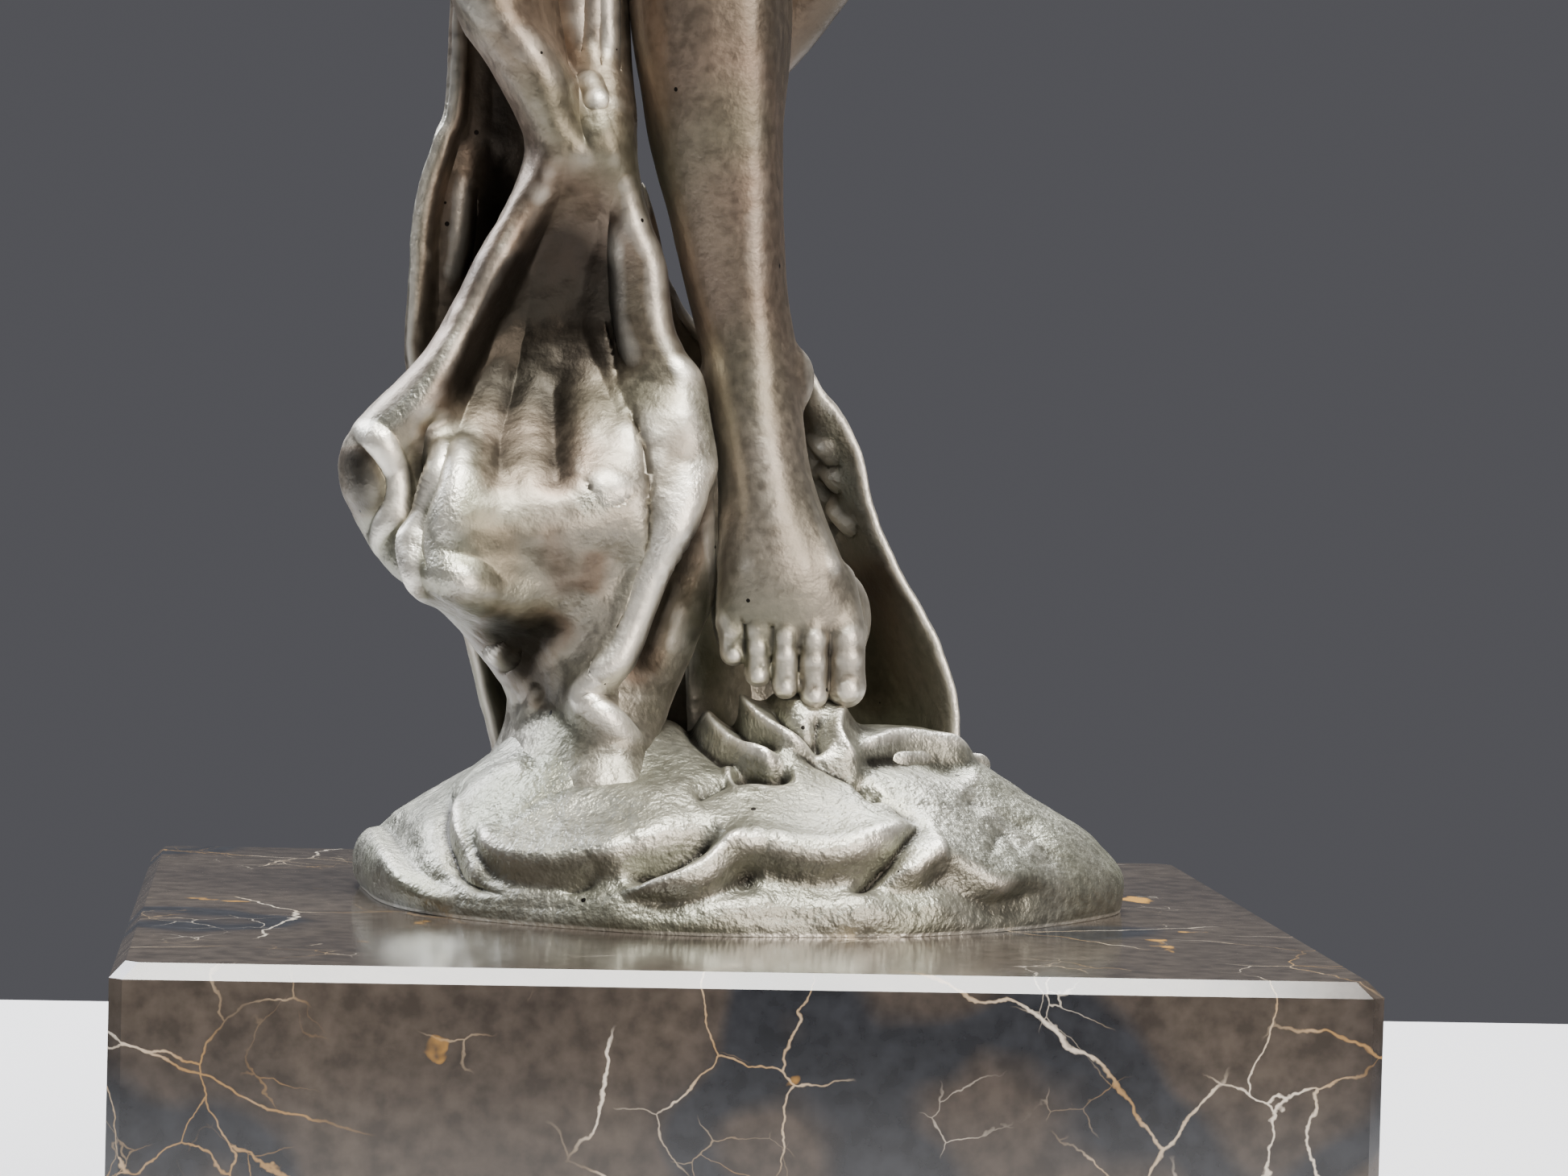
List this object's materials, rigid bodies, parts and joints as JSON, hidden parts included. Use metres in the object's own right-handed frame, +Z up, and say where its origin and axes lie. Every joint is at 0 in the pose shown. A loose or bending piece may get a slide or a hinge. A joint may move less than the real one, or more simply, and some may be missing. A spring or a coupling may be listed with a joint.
{
  "type": "bronze statuette",
  "caption": "Draped dancer on pointe in patinated cast bronze, her robe trailing to a folded ground mound, fixed to a square polished marble plinth.",
  "frame": {"origin": "middle of the underside of the felt, on the surface the statuette stands on", "axes": "+Z up, along the figure; the dancer faces -Y; +X is to the right of someone facing the statuette"},
  "size_m": [0.1, 0.1, 0.3405],
  "materials": {
    "patinated_bronze": "satin",
    "veined_marble": "polished",
    "green_felt": "matte",
    "zinc_steel": "satin"
  },
  "bodies": {
    "root": {"marble_plinth": "veined_marble", "base_felt": "green_felt", "mounting_stud": "zinc_steel", "plinth_washer": "zinc_steel", "plinth_nut": "zinc_steel", "turn_pin": "zinc_steel", "ground_mound": "patinated_bronze", "cloth_fall_front": "patinated_bronze", "cloth_fall_back": "patinated_bronze", "cloth_rear_wrap": "patinated_bronze", "standing_leg": "patinated_bronze", "raised_leg": "patinated_bronze", "tunic_torso": "patinated_bronze", "head": "patinated_bronze", "right_arm": "patinated_bronze", "left_arm": "patinated_bronze", "toe_dowel": "zinc_steel", "standing_hip_dowel": "zinc_steel", "raised_hip_dowel": "zinc_steel", "neck_dowel": "zinc_steel", "right_shoulder_dowel": "zinc_steel", "left_shoulder_dowel": "zinc_steel"}
  },
  "joints": []
}
